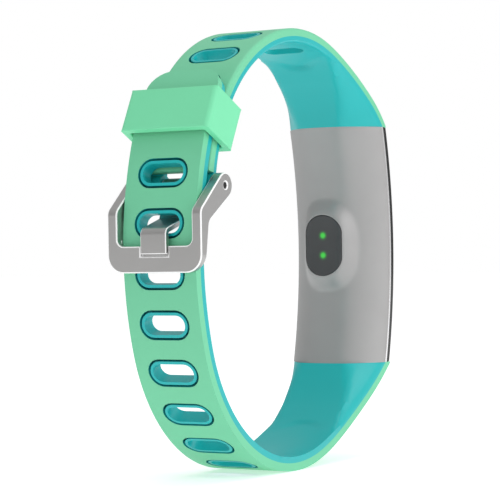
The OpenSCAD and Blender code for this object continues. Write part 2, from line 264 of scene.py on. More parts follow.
def plainPaint(name, colour, roughness, spread=0.08, size=1.5 * mm, metallic=0.0, **shader):
    paint = Paint(name, colour, roughness, metallic, **shader)
    cloud = paint.noise(size, 4)
    paint.mottle(cloud, spread)
    paint.set("Roughness", (cloud - 0.5) * 0.1 + roughness)
    paint.bump(paint.noise(size / 6, 2), 0.004 * mm, 0.4)
    return paint.material


def blackGlassPaint():
    paint = Paint("blackGlass", (0.006, 0.006, 0.007), 0.06, Specular_IOR_Level=0.3)
    smear = paint.noise(11 * mm, 4, 0.6)
    paint.set("Roughness", (smear - 0.4) * 0.06 + 0.06)
    paint.mottle(smear, 0.2)
    return paint.material


lightSpot = {"halfLong": 0.5 * mm, "glow": 1.5 * mm}


# the smoked pane, with the green LEDs' glow and its halo painted onto it as emission
def windowWithPaintedGlow():
    ledLow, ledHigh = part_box("green_leds")
    ledReach = (ledHigh.z - ledLow.z) / 2 - lightSpot["halfLong"]
    paint = Paint("smokedWindowPaintedGlow", (0.066, 0.066, 0.069), 0.3, Specular_IOR_Level=0.3)
    paint.mottle(paint.noise(2.5 * mm, 2), 0.05)
    glow = None
    for side in (-1, 1):
        spot = boxMiddle("green_leds") + Vector((0, 0, side * ledReach))
        away = paint.node("ShaderNodeVectorMath", {"operation": "SUBTRACT"},
                          {0: paint.place, 1: (spot.x, 0, spot.z)})
        flat = paint.node("ShaderNodeVectorMath", {"operation": "MULTIPLY"}, {0: away, 1: (1, 0, 1)})
        far = paint.node("ShaderNodeVectorMath", {"operation": "LENGTH"}, {0: flat}, out="Value")
        fade = paint.node("ShaderNodeMapRange", {"interpolation_type": "SMOOTHERSTEP"},
                          {0: far, 1: 0.0, 2: lightSpot["glow"], 3: 1.0, 4: 0.0})
        glow = fade if glow is None else glow + fade
    bright = paint.node("ShaderNodeMapRange", {}, {0: glow, 1: 0.7, 2: 1.0, 3: 0.0, 4: 1.0})
    halo = paint.mix(glow ** 2.6, (0, 0, 0, 1), (0.001, 0.4, 0.005, 1))
    paint.set("Emission Color", paint.mix(bright, halo, (0.012, 0.56, 0.018, 1)))
    paint.set("Emission Strength", 1.0)
    return paint.material


def boardPaint():
    paint = Paint("greenBoard", (0.02, 0.16, 0.07), 0.4)
    tracks = paint.node("ShaderNodeTexBrick", {"offset": 0.5},
                        {"Vector": paint.place, "Scale": 900.0, "Mortar Size": 0.03,
                         "Color1": (0.018, 0.15, 0.065, 1), "Color2": (0.024, 0.19, 0.085, 1),
                         "Mortar": (0.09, 0.33, 0.15, 1)})
    paint.set("Base Color", tracks)
    paint.bump(paint.noise(0.4 * mm, 3), 0.01 * mm, 0.5)
    return paint.material


# one mint silicone in two copies: the strap's mint is darker than the keeper's
mintPaint = silicone("mintSilicone", (0.17, 0.61, 0.36), 0.5)
loopPaint = silicone("mintLoop", (0.19, 0.73, 0.41), 0.5)
tealPaint = silicone("tealSilicone", (0.008, 0.45, 0.455), 0.38)
# a darker teal for the groove between liner and mint: painted shade in the narrow gap
shadedGroovePaint = silicone("tealGrooveShade", (0.01, 0.34, 0.35), 0.5)
casePaint = satinMetal("satinGreyCase", (0.37, 0.362, 0.362), 0.5, 0.4, 0.07 * mm, 0.004 * mm)
framePaint = satinMetal("polishedFrame", (0.86, 0.86, 0.87), 0.18, 0.9, 0.2 * mm, 0.001 * mm)
steelPaint = satinMetal("satinSteel", (0.445, 0.44, 0.435), 0.38, 1.0)
# white paint for the buckle's and the prong's bevels: a painted highlight along the edges, not a metal
# finish
highlightEdgePaint = satinMetal("paintedHighlightEdge", (0.96, 0.96, 0.96), 0.3, 0.0, 0.2 * mm, 0.001 * mm)
# the buckle pin is painted near-black: painted shade inside the eye's bore
pinShadePaint = plainPaint("pinPaintedShade", (0.012, 0.012, 0.012), 0.5, metallic=0.3)
glassPaint = blackGlassPaint()
smokedGlowPaint = windowWithPaintedGlow()
cadPaints = {
    "front_frame": framePaint,
    "buckle_pin": pinShadePaint,
    "case_seal": plainPaint("blackSeal", (0.02, 0.02, 0.02), 0.7),
    "light_baffle": plainPaint("blackBaffle", (0.02, 0.02, 0.02), 0.75),
    "display_panel": plainPaint("displayStack", (0.012, 0.013, 0.025), 0.15),
    "display_flex": plainPaint("displayFlex", (0.55, 0.24, 0.04), 0.35, 0.15),
    "sensor_flex": plainPaint("sensorFlex", (0.55, 0.24, 0.04), 0.35, 0.15),
    "antenna": plainPaint("antennaGold", (0.75, 0.5, 0.18), 0.3, metallic=0.9),
    "green_leds": plainPaint("greenLight", (0.1, 0.85, 0.22), 0.2, 0.15),
    "photodiode": plainPaint("photodiodeFilm", (0.02, 0.02, 0.035), 0.2),
    "board_chips": plainPaint("chipBlack", (0.022, 0.022, 0.024), 0.6, 0.15, 0.4 * mm),
    "sensor_board": boardPaint(),
    "main_board": boardPaint(),
    "shield_can": satinMetal("tinPlate", (0.6, 0.6, 0.6), 0.35, 0.9),
    "motor_housing": satinMetal("motorCan", (0.62, 0.62, 0.63), 0.3, 0.9),
    "motor_shaft": satinMetal("motorShaft", (0.55, 0.55, 0.56), 0.25, 0.95),
    "board_screws": satinMetal("screwSteel", (0.5, 0.5, 0.52), 0.3, 0.95),
    "strap_pins": satinMetal("pinSteel", (0.55, 0.55, 0.56), 0.3, 0.95),
    "battery": plainPaint("batteryFoil", (0.42, 0.42, 0.44), 0.35, 0.12, 2 * mm, 0.6),
    "motor_weight": plainPaint("tungstenGrey", (0.2, 0.19, 0.18), 0.5, 0.2, 0.3 * mm, 0.7),
}
for nodeName, material in cadPaints.items():
    shown = frame["nodes"][nodeName]
    shown.data.materials.clear()
    shown.data.materials.append(material)
print("materials made")


# the tracker's shape is shared by the case, the glass and the lugs
tracker = {"axis": -64.5 * mm, "skinRadius": 89.6 * mm, "shellRadius": 95.9 * mm, "flatHalf": 4.0 * mm,
           "flankBulge": 2.8 * mm, "creaseSoftness": 0.85 * mm, "wall": 0.9 * mm}
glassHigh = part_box("display_glass")[1]
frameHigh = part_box("front_frame")[1]
halfWide = frameHigh.x
halfLong = frameHigh.z
glassRadius = glassHigh.y - tracker["axis"]
flankHeight = tracker["shellRadius"] - tracker["skinRadius"]
trackerDepth = glassRadius - tracker["skinRadius"]


def rise(x):  # how far the flank stands above the flat skin, at x from the middle
    soft = tracker["creaseSoftness"]
    past = soft * math.log(1 + math.exp(min(60, (abs(x) - tracker["flatHalf"]) / soft)))
    slope = halfWide - tracker["flatHalf"] + tracker["flankBulge"]
    under = max(0, slope * slope - 4 * tracker["flankBulge"] * past)
    return min(flankHeight, flankHeight * (slope - math.sqrt(under)) / (2 * tracker["flankBulge"]))


def onTracker(radius, z):  # y on a cylinder about the long curvature
    return tracker["axis"] + math.sqrt(radius * radius - z * z)


upperStrap = {"name": "upper", "seam": 22 * mm, "heading": 112, "inside": 1,
              "arcs": [(20 * mm, 20), (31.8 * mm, 133)], "firstSlot": 27.2 * mm, "slots": 6}
lowerStrap = {"name": "lower", "seam": -22 * mm, "heading": 239, "inside": -1,
              "arcs": [(30 * mm, -17.2), (44 * mm, -25.2), (30.7 * mm, -89.6),
                       (58 * mm, -35.7), (34.6 * mm, -23.3)],
              "firstSlot": 47.6 * mm, "slots": 8}
strapShape = {"halfSlim": 7.1 * mm, "taperFrom": 31 * mm, "taperTo": 14 * mm, "taperPower": 2.5,
              "thick": 2.5 * mm, "mint": 1.4 * mm, "pitch": 8.45 * mm, "slotHalf": 2.35 * mm,
              "holeRadius": 1.65 * mm, "linerRadius": 2.15 * mm, "openRadius": 2.55 * mm,
              "linerDrop": 0.05 * mm, "tipRound": 4.2 * mm, "row": 0.8 * mm, "lugRadius": 20.8 * mm,
              "lugHeading": 14, "edge": 0.7 * mm, "slotEdge": 0.14 * mm, "endRow": 0.7 * mm,
              "slotRow": 0.45 * mm, "mintFrom": -1.5 * mm, "tealFrom": -4 * mm, "mintBack": 3.05 * mm,
              "tealBack": 0.3 * mm, "seamFrom": 18 * mm}
strapEdgeLines = (4.9 * mm, 5.6 * mm, 6.2 * mm, 6.7 * mm, 7.1 * mm)
for strap in (upperStrap, lowerStrap):
    strap["start"] = Vector((onTracker(glassRadius, halfLong), strap["seam"]))
    strap["length"] = sum(r * math.radians(abs(turn)) for r, turn in strap["arcs"])


def leftOf(angle):
    return Vector((-math.sin(angle), math.cos(angle)))


def along(strap, s):  # place and heading at a distance along the outer face
    place, angle = Vector(strap["start"]), math.radians(strap["heading"])
    if s <= 0:
        return place + s * Vector((math.cos(angle), math.sin(angle))), angle
    for number, (radius, turn) in enumerate(strap["arcs"]):
        turn = math.radians(turn)
        bend = 1 if turn > 0 else -1
        centre = place + bend * radius * leftOf(angle)
        last = number == len(strap["arcs"]) - 1
        turned = bend * s / radius
        if s <= radius * abs(turn) or last:
            return centre - bend * radius * leftOf(angle + turned), angle + turned
        place = centre - bend * radius * leftOf(angle + turn)
        angle += turn
        s -= radius * abs(turn)


def widthAt(strap, s):  # half width of the strap, with its taper and its round tip
    y = along(strap, s)[0].x
    share = min(1, max(0, (y - strapShape["taperTo"]) / (strapShape["taperFrom"] - strapShape["taperTo"])))
    half = strapShape["halfSlim"] + (halfWide - strapShape["halfSlim"]) * share ** strapShape["taperPower"]
    past = s - strap["length"] + strapShape["tipRound"]
    if strap is lowerStrap and past > 0:
        r = strapShape["tipRound"]
        half = half - r + math.sqrt(max(0, r * r - past * past))
    return half


def smoothStep(x):
    x = min(1, max(0, x))
    return x * x * (3 - 2 * x)


lugCrease = {"at": 19.3 * mm, "bow": 2.4 * mm, "half": 4.2 * mm, "step": 0.3 * mm, "soft": 0.5 * mm,
             "ease": 1.0 * mm, "flankSoft": 0.35 * mm, "fadeFrom": 16 * mm,
             "fadeOver": 8 * mm}


def lugDepth(strap, s, x):  # thickness of the lug under the outer face
    thin = strapShape["thick"]
    if s > lugCrease["fadeFrom"] + lugCrease["fadeOver"]:
        return thin
    place, angle = along(strap, s)
    side = strap["inside"]
    inward = side * leftOf(angle)
    skin = Vector((onTracker(tracker["skinRadius"], halfLong), side * halfLong))
    tilt = side * math.radians(90 + strapShape["lugHeading"])
    centre = skin + side * strapShape["lugRadius"] * leftOf(tilt)
    off = place - centre
    reach = off.dot(inward)
    under = reach * reach - off.dot(off) + strapShape["lugRadius"] ** 2
    flat = -reach - math.sqrt(under) if under > 0 else thin
    step = lugCrease["step"] * math.exp(-(x / (1.15 * lugCrease["half"])) ** 4)
    bow = lugCrease["at"] + lugCrease["bow"] * (x / lugCrease["half"]) ** 2
    eased = thin + lugCrease["ease"] * math.log(1 + math.exp((flat - thin) / lugCrease["ease"]))
    thick = max(eased, thin + step)
    soft = lugCrease["soft"] * (1 + 4 * (x / lugCrease["half"]) ** 2)
    thick = thin + (thick - thin) * smoothStep((bow + soft / 2 - s) / soft)
    flank = trackerDepth - rise(x * halfWide / widthAt(strap, s))
    soft = lugCrease["flankSoft"]
    low = min(thick, flank)
    rounded = low - soft * math.log(1 + math.exp(-abs(thick - flank) / soft))
    return rounded + (thin - rounded) * smoothStep((s - lugCrease["fadeFrom"]) / lugCrease["fadeOver"])


def slotLines(radius):  # the cell's grid lines, which close up round the slot
    half = strapShape["pitch"] / 2
    xs = [half, half - strapShape["endRow"], radius + strapShape["slotRow"]]
    xs += [radius * math.cos(math.radians(a)) for a in (45, 60, 75)] + [0]
    straight = strapShape["slotHalf"]
    ys = [0, straight / 2, straight] + [straight + radius * math.sin(math.radians(a)) for a in (15, 30, 45)]
    ys += list(strapEdgeLines)
    return sorted(set([-x for x in xs] + xs)), sorted(set([-y for y in ys] + ys))


def ontoSlot(x, y, radius):  # moves the block's border out to the round-ended slot
    straight = strapShape["slotHalf"]
    corner = radius * math.sin(math.radians(45))
    nearX, nearY = abs(abs(x) - corner) < hair, abs(abs(y) - straight - corner) < hair
    if nearX and abs(y) < straight + corner + hair:
        past = max(0, abs(y) - straight)
        return math.copysign(math.sqrt(radius * radius - past * past), x), y
    if nearY and abs(x) < corner + hair:
        return x, math.copysign(straight + math.sqrt(radius * radius - x * x), y)
    return x, y


def slotSheet(strap, name, radius, startAt, endAt):
    xs, ys = slotLines(radius)
    sheet = newPiece(name, bpy.ops.mesh.primitive_grid_add, x_subdivisions=len(xs) - 1,
                     y_subdivisions=len(ys) - 1, size=2)
    for vertex in sheet.data.vertices:
        column = round((vertex.co.x + 1) / 2 * (len(xs) - 1))
        row = round((vertex.co.y + 1) / 2 * (len(ys) - 1))
        x, y = ontoSlot(xs[column], ys[row], radius)
        vertex.co = (x + strap["firstSlot"], y, 0)
    modify(sheet, "ARRAY", count=strap["slots"], use_relative_offset=False, use_constant_offset=True,
           constant_offset_displace=(strapShape["pitch"], 0, 0), use_merge_vertices=True,
           merge_threshold=hair)
    stretchSheet(sheet, strap["firstSlot"] - strapShape["pitch"] / 2, startAt)
    stretchSheet(sheet, strap["firstSlot"] + (strap["slots"] - 0.5) * strapShape["pitch"], endAt)
    for vertex in sheet.data.vertices:
        vertex.co.y *= widthAt(strap, vertex.co.x) / strapShape["halfSlim"]
    return sheet


def stretchSheet(sheet, fromX, stations):
    for station in stations:
        pick(sheet, lambda v: abs(v.co.x - fromX) < hair, "VERT")
        bpy.ops.mesh.select_mode(type="EDGE")
        bpy.ops.mesh.extrude_region_move(TRANSFORM_OT_translate={"value": (station - fromX, 0, 0)})
        done()
        fromX = station


def evenSteps(start, end, step):
    count = max(1, round(abs(end - start) / step))
    return [start + (end - start) * i / count for i in range(1, count + 1)]


def nearestSlot(strap, x):
    nearest = round((x - strap["firstSlot"]) / strapShape["pitch"])
    return strap["firstSlot"] + min(strap["slots"] - 1, max(0, nearest)) * strapShape["pitch"]


def fromSlot(strap, place):  # distance from the nearest slot's middle line
    x = place.x - nearestSlot(strap, place.x)
    return math.hypot(x, max(0, abs(place.y) - strapShape["slotHalf"]))


def isHole(strap, face, radius):
    return fromSlot(strap, middle(face)) < radius * 0.98 and all(
        fromSlot(strap, v.co) < radius + hair for v in face.verts)


def weighEdges(piece, weights):
    mesh = bmesh.new()
    mesh.from_mesh(piece.data)
    layer = mesh.edges.layers.float.new("bevel_weight_edge")
    for edge in mesh.edges:
        if len(edge.link_faces) == 2:
            edge[layer] = weights(edge)
    mesh.to_mesh(piece.data)
    mesh.free()


def bendStrap(strap, piece):
    count = math.ceil(strap["length"] / (0.5 * mm))
    curve = bpy.data.curves.new("strapPath", "CURVE")
    curve.dimensions = "3D"
    curve.twist_mode = "MINIMUM"
    line = curve.splines.new("POLY")
    line.points.add(count)
    for number, point in enumerate(line.points):
        place = along(strap, strap["length"] * number / count)[0]
        point.co = (0, place.x, place.y, 1)
    path = bpy.data.objects.new("strapPath", curve)
    bpy.context.scene.collection.objects.link(path)
    if strap["inside"] > 0:
        for vertex in piece.data.vertices:
            vertex.co.z *= -1
    modify(piece, "CURVE", object=path, deform_axis="POS_X")
    bpy.data.objects.remove(path, do_unlink=True)


def trimSeam(strap, piece):  # cuts the lug flush with the end of the case
    up = strap["inside"]
    pick(piece, lambda f: middle(f).y > strapShape["seamFrom"])
    bpy.ops.mesh.bisect(plane_co=(0, 0, up * halfLong), plane_no=(0, 0, up), use_fill=True, clear_inner=True,
                        threshold=0.001 * mm)
    done()


def endStations(strap, last):
    after = strap["firstSlot"] + (strap["slots"] - 0.5) * strapShape["pitch"]
    if strap is upperStrap:
        return evenSteps(after, last, strapShape["row"])
    tipFrom = strap["length"] - strapShape["tipRound"]
    tip = [tipFrom + strapShape["tipRound"] * math.sin(math.radians(a)) for a in range(12, 91, 13)]
    return evenSteps(after, tipFrom, strapShape["row"]) + tip


def mintLayer(strap, last):
    depth = strapShape["mint"]
    firstEdge = strap["firstSlot"] - strapShape["pitch"] / 2
    sheet = slotSheet(strap, strap["name"] + "_strap_outer", strapShape["openRadius"],
                      evenSteps(firstEdge, strapShape["mintFrom"], strapShape["row"]),
                      endStations(strap, last))
    pick(sheet, lambda f: isHole(strap, f, strapShape["openRadius"]))
    bpy.ops.mesh.delete(type="FACE")
    bpy.ops.mesh.select_all(action="SELECT")
    bpy.ops.mesh.extrude_region_move(TRANSFORM_OT_translate={"value": (0, 0, depth)})
    done()
    tidyMesh(sheet)

    def weight(edge):
        a, b = edge.verts
        if max(a.co.z, b.co.z) > 0.1 * mm or edge.calc_face_angle() < foldAngle:
            return 0
        atSlot = fromSlot(strap, a.co) < strapShape["openRadius"] + 0.05 * mm
        return strapShape["slotEdge"] / strapShape["edge"] if atSlot else 1

    weighEdges(sheet, weight)
    modify(sheet, "BEVEL", limit_method="WEIGHT", width=strapShape["edge"], segments=3)
    sheet.data.materials.append(mintPaint)
    sheet.data.materials.append(shadedGroovePaint)
    # the slot walls down into the groove take the darker teal, painted shade
    for face in sheet.data.polygons:
        if face.center.z > 0.1 * mm and fromSlot(strap, face.center) < strapShape["openRadius"] + 0.02 * mm:
            face.material_index = 1
    bendStrap(strap, sheet)
    trimSeam(strap, sheet)
    finishMesh(sheet)
    return sheet


def tealLayer(strap):
    top, bottom = strapShape["mint"], strapShape["thick"]
    firstEdge = strap["firstSlot"] - strapShape["pitch"] / 2
    last = strap["length"] - strapShape["tealBack"]
    sheet = slotSheet(strap, strap["name"] + "_strap_inner", strapShape["linerRadius"],
                      evenSteps(firstEdge, strapShape["tealFrom"], strapShape["row"] / 2),
                      endStations(strap, last))
    pick(sheet, lambda f: isHole(strap, f, strapShape["linerRadius"]))
    bpy.ops.mesh.inset(thickness=strapShape["linerRadius"] - strapShape["holeRadius"], depth=0)
    bpy.ops.mesh.delete(type="FACE")
    bpy.ops.mesh.select_all(action="SELECT")
    bpy.ops.transform.translate(value=(0, 0, top))
    bpy.ops.mesh.extrude_region_move(TRANSFORM_OT_translate={"value": (0, 0, bottom - top)})
    done()

    def onRing(face):
        spot = middle(face)
        flat = abs(spot.z - top) < hair and abs(face.normal.z) > 0.9
        return flat and fromSlot(strap, spot) < strapShape["linerRadius"] - 0.05 * mm

    pick(sheet, onRing)
    bpy.ops.mesh.extrude_region_move(TRANSFORM_OT_translate={"value": (0, 0, strapShape["linerDrop"] - top)})
    done()
    for vertex in sheet.data.vertices:
        if vertex.co.z > bottom - hair and vertex.co.x < firstEdge + hair:
            vertex.co.z = lugDepth(strap, vertex.co.x, vertex.co.y)
    tidyMesh(sheet)

    def weight(edge):
        a, b = edge.verts
        if edge.calc_face_angle() < foldAngle:
            return 0
        away = max(fromSlot(strap, a.co), fromSlot(strap, b.co))
        if away < strapShape["linerRadius"] + 0.05 * mm:
            return strapShape["slotEdge"] / strapShape["edge"] if abs(a.co.z - top) > 0.1 * mm else 0
        if min(a.co.x, b.co.x) > firstEdge - 0.1 * mm and min(a.co.z, b.co.z) > bottom - 0.1 * mm:
            return 1
        return 0

    weighEdges(sheet, weight)
    modify(sheet, "BEVEL", limit_method="WEIGHT", width=strapShape["edge"], segments=3)
    sheet.data.materials.append(tealPaint)
    sheet.data.materials.append(shadedGroovePaint)
    # the groove faces round each liner take the darker teal, painted shade
    for face in sheet.data.polygons:
        away = fromSlot(strap, face.center)
        inGroove = strapShape["linerRadius"] - 0.04 * mm < away < strapShape["openRadius"] + 0.4 * mm
        if inGroove and strapShape["linerDrop"] + 0.1 * mm < face.center.z < top + 0.05 * mm:
            face.material_index = 1
    bendStrap(strap, sheet)
    trimSeam(strap, sheet)
    tidyMesh(sheet)
    return sheet


upperMint = mintLayer(upperStrap, upperStrap["length"] - strapShape["mintBack"])
lowerMint = mintLayer(lowerStrap, lowerStrap["length"])
upperTeal = tealLayer(upperStrap)
lowerTeal = tealLayer(lowerStrap)
print("straps bent")

# the upper strap's hinge knuckle
knuckle = {"radius": 1.95 * mm, "bore": 0.65 * mm, "boreLong": 30 * mm, "sideGap": 0.04 * mm,
           "notch": (5.5 * mm, 6 * mm, 6 * mm), "notchDrop": 0.4 * mm}
pinMiddle = boxMiddle("buckle_pin")


def crossRod(name, radius, length, at, sides=48):
    return newPiece(name, bpy.ops.mesh.primitive_cylinder_add, vertices=sides, radius=radius, depth=length,
                    location=at, rotation=(0, math.pi / 2, 0))


def cube(name, size, at):
    return newPiece(name, bpy.ops.mesh.primitive_cube_add, size=1, location=at, scale=size)


knuckleLong = 2 * strapShape["halfSlim"] - knuckle["sideGap"]
cut(upperTeal, crossRod("knuckle", knuckle["radius"], knuckleLong, pinMiddle), "UNION")
cut(upperTeal, cube("notch", knuckle["notch"], pinMiddle - Vector((0, 0, knuckle["notchDrop"]))))
cut(upperTeal, crossRod("pinBore", knuckle["bore"], knuckle["boreLong"], pinMiddle))
tidyMesh(upperTeal)
dress(upperMint, "band", "mint_silicone", "upper_strap_outer")
dress(lowerMint, "band", "mint_silicone", "lower_strap_outer")
dress(upperTeal, "band", "teal_silicone", "upper_strap_inner")
dress(lowerTeal, "band", "teal_silicone", "lower_strap_inner")
print("knuckle bored")

# rear case, with its sensor bump and window
sensor = {"bump": 1.9 * mm, "spanX": 3.95 * mm, "spanZ": 5.85 * mm, "fullness": 2.7, "roundEnd": 3.5 * mm,
          "reach": 1.52, "fade": 0.56, "columns": 64, "rows": 120,
          "windowDrop": 0.08 * mm, "rimGap": 0.06 * mm}
windowLow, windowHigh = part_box("sensor_window")
windowHalf = ((windowHigh.x - windowLow.x) / 2, (windowHigh.z - windowLow.z) / 2)


def skinAt(x, z):  # y of the case's outer surface
    full = sensor["fullness"]
    far = (abs(x / sensor["spanX"]) ** full + abs(z / sensor["spanZ"]) ** full) ** (1 / full)
    bump = sensor["bump"] * smoothStep((sensor["reach"] - far) / sensor["fade"])
    return onTracker(tracker["skinRadius"] + rise(x), z) - bump


def windowSpot(place, margin, y):  # a point of a unit disc in X and Z, moved to the long round-ended window
    straight = windowHalf[1] - sensor["roundEnd"]
    x = place.x * (windowHalf[0] + margin)
    far = math.hypot(place.x, place.z)
    z = place.z * (sensor["roundEnd"] + margin) + math.copysign(far * straight, place.z)
    return Vector((x, y, z))


def makeCase():
    case = newPiece("rear_case_shell", bpy.ops.mesh.primitive_grid_add, x_subdivisions=sensor["columns"],
                    y_subdivisions=sensor["rows"], size=2, rotation=(math.pi / 2, 0, 0))
    for vertex in case.data.vertices:
        x, z = vertex.co.x * halfWide, vertex.co.z * halfLong
        vertex.co = (x, skinAt(x, z), z)
    for up in (-1, 1):
        pick(case, lambda v: v.co.z * up > halfLong - hair, "VERT")
        bpy.ops.mesh.edge_face_add()
        done()
    tidyMesh(case)
    modify(case, "SOLIDIFY", thickness=tracker["wall"], offset=-1, use_even_offset=False)
    window = newPiece("windowCut", bpy.ops.mesh.primitive_cylinder_add, vertices=96, radius=1, depth=8 * mm,
                      location=(0, windowLow.y, 0), rotation=(math.pi / 2, 0, 0))
    for vertex in window.data.vertices:
        vertex.co = windowSpot(vertex.co, 0.02 * mm, vertex.co.y)
    cut(case, window)
    modify(case, "BEVEL", limit_method="ANGLE", angle_limit=math.radians(55), width=0.12 * mm, segments=2)
    case.data.materials.append(casePaint)
    tidyMesh(case, 40)
    return case


def makePane():
    pane = newPiece("sensor_window_pane", bpy.ops.mesh.primitive_circle_add, vertices=96, radius=1,
                    fill_type="NGON", rotation=(math.pi / 2, 0, 0))
    for share in (0.04, 0.16, 0.2, 0.2, 0.18, 0.12):
        pick(pane, lambda f: len(f.verts) > 4)
        bpy.ops.mesh.inset(thickness=share, depth=0)
        done()
    for vertex in pane.data.vertices:
        spot = windowSpot(vertex.co, -sensor["rimGap"], 0)
        vertex.co = (spot.x, skinAt(spot.x, spot.z) + sensor["windowDrop"], spot.z)
    modify(pane, "SOLIDIFY", thickness=0.8 * mm, offset=-1 if pane.data.polygons[0].normal.y < 0 else 1)
    modify(pane, "BEVEL", limit_method="ANGLE", angle_limit=math.radians(55), width=0.1 * mm, segments=2)
    pane.data.materials.append(smokedGlowPaint)
    tidyMesh(pane)
    return pane


caseShell = makeCase()
pane = makePane()
dress(caseShell, "band", "satin_grey_case", "rear_case")
dress(pane, "band", "smoked_window", "sensor_window")
print("case and window made")

glassShape = {"columns": 24, "rows": 80, "edge": 0.14 * mm, "inset": 0.02 * mm}


def makeGlass():
    glass = newPiece("display_glass_cover", bpy.ops.mesh.primitive_grid_add, size=2,
                     x_subdivisions=glassShape["columns"], y_subdivisions=glassShape["rows"],
                     rotation=(math.pi / 2, 0, 0))
    for vertex in glass.data.vertices:
        x, z = vertex.co.x * glassHigh.x, vertex.co.z * (halfLong - glassShape["inset"])
        vertex.co = (x, onTracker(glassRadius, z), z)
    thickness = glassHigh.y - frameHigh.y
    pick(glass, lambda f: True)
    bpy.ops.mesh.extrude_region_move(TRANSFORM_OT_translate={"value": (0, -thickness, 0)})
    done()
    tidyMesh(glass)
    modify(glass, "BEVEL", limit_method="ANGLE", angle_limit=math.radians(50),
           width=glassShape["edge"], segments=3)
    glass.data.materials.append(glassPaint)
    finishMesh(glass)
    return glass


glassCover = makeGlass()
dress(glassCover, "band", "black_glass", "display_glass")
print("glass made")

keeperShape = {"wall": 1.3 * mm, "cornerOut": 0.9 * mm, "cornerIn": 0.5 * mm, "rim": 0.22 * mm,
               "turn": 26.9, "middleRadius": 31.95 * mm, "size": (17.4 * mm, 8.7 * mm, 7.8 * mm)}
loopCentre = Vector(next(j for j in frame["joints"] if j["name"] == "keeper_slide")["pos_m"])


def makeKeeper(shape):
    wide, thick, long = shape["size"]
    loop = cube("strap_keeper_loop", (wide, thick, long), (0, 0, 0))
    pick(loop, lambda f: abs(f.normal.z) > 0.9)
    bpy.ops.mesh.inset(thickness=shape["wall"], depth=0, use_individual=True)
    bpy.ops.mesh.bridge_edge_loops()
    done()
    tidyMesh(loop)

    def weight(edge):
        a, b = edge.verts
        if edge.calc_face_angle() < foldAngle:
            return 0
        if abs(a.co.z - b.co.z) < long / 2:
            return shape["rim"] / shape["cornerOut"]
        return 1 if abs(a.co.x) > wide / 2 - 0.5 * mm else shape["cornerIn"] / shape["cornerOut"]

    weighEdges(loop, weight)
    modify(loop, "BEVEL", limit_method="WEIGHT", width=shape["cornerOut"], segments=5,
           use_clamp_overlap=False)
    loop.data.materials.append(loopPaint)
    turn = Matrix.Rotation(math.radians(-shape["turn"]), 4, "X")
    outward = Matrix.Translation((0, -shape["middleRadius"], 0))
    loop.data.transform(Matrix.Translation(loopCentre) @ turn @ outward)
    finishMesh(loop)
    return loop


keeper = makeKeeper(keeperShape)
dress(keeper, "keeper", "mint_silicone", "strap_keeper")
print("keeper made")

buckle = {"side": 1.85 * mm, "barThick": 1.3 * mm, "barHigh": 4.4 * mm, "bend": 5.9 * mm, "eye": 2.1 * mm,
          "cornerOut": 3.0 * mm, "cornerIn": 1.2 * mm, "backBend": (-31.1 * mm, 4.0 * mm), "edge": 0.2 * mm,
          "recess": 0.66 * mm, "recessWide": 5.5 * mm, "recessFrom": -1.6 * mm, "recessTop": 10 * mm,
          "bendRound": 1.6 * mm, "clear": 20 * mm}
prongShape = {"wide": 5.0 * mm, "thick": 0.9 * mm, "eye": 1.45 * mm, "tip": -1.2 * mm, "fold": 2.6 * mm,
              "back": (-27.9 * mm, 4.35 * mm), "foldRound": 0.9 * mm, "edge": 0.14 * mm}
buckleLow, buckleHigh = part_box("buckle_frame")
eyeCentre = Vector((pinMiddle.y, pinMiddle.z))


def tangentPoint(place, centre, radius, left):  # where a line from place touches a circle
    off = centre - place
    angle = math.atan2(off.y, off.x) + left * math.asin(radius / off.length)
    reach = math.sqrt(off.length_squared - radius * radius)
    return place + reach * Vector((math.cos(angle), math.sin(angle)))


def roundCorner(before, corner, after, radius, steps=6):
    a, b = (before - corner).normalized(), (after - corner).normalized()
    half = a.angle(b) / 2
    centre = corner + (a + b).normalized() * radius / math.sin(half)
    first, last = corner + a * radius / math.tan(half), corner + b * radius / math.tan(half)
    start, end = first - centre, last - centre
    turn = end.angle_signed(start)
    return [centre + Matrix.Rotation(turn * i / steps, 2) @ start for i in range(steps + 1)]


def prism(name, outline, axis, low, high):
    mesh = bpy.data.meshes.new(name)
    piece = bpy.data.objects.new(name, mesh)
    bpy.context.scene.collection.objects.link(piece)
    spot = (lambda p: (low, p.x, p.y)) if axis == "X" else (lambda p: (p.x, low, p.y))
    mesh.from_pydata([spot(p) for p in outline], [], [range(len(outline))])
    pick(piece, lambda f: True)
    move = (high - low, 0, 0) if axis == "X" else (0, high - low, 0)
    bpy.ops.mesh.extrude_region_move(TRANSFORM_OT_translate={"value": move})
    done()
    tidyMesh(piece)
    return piece


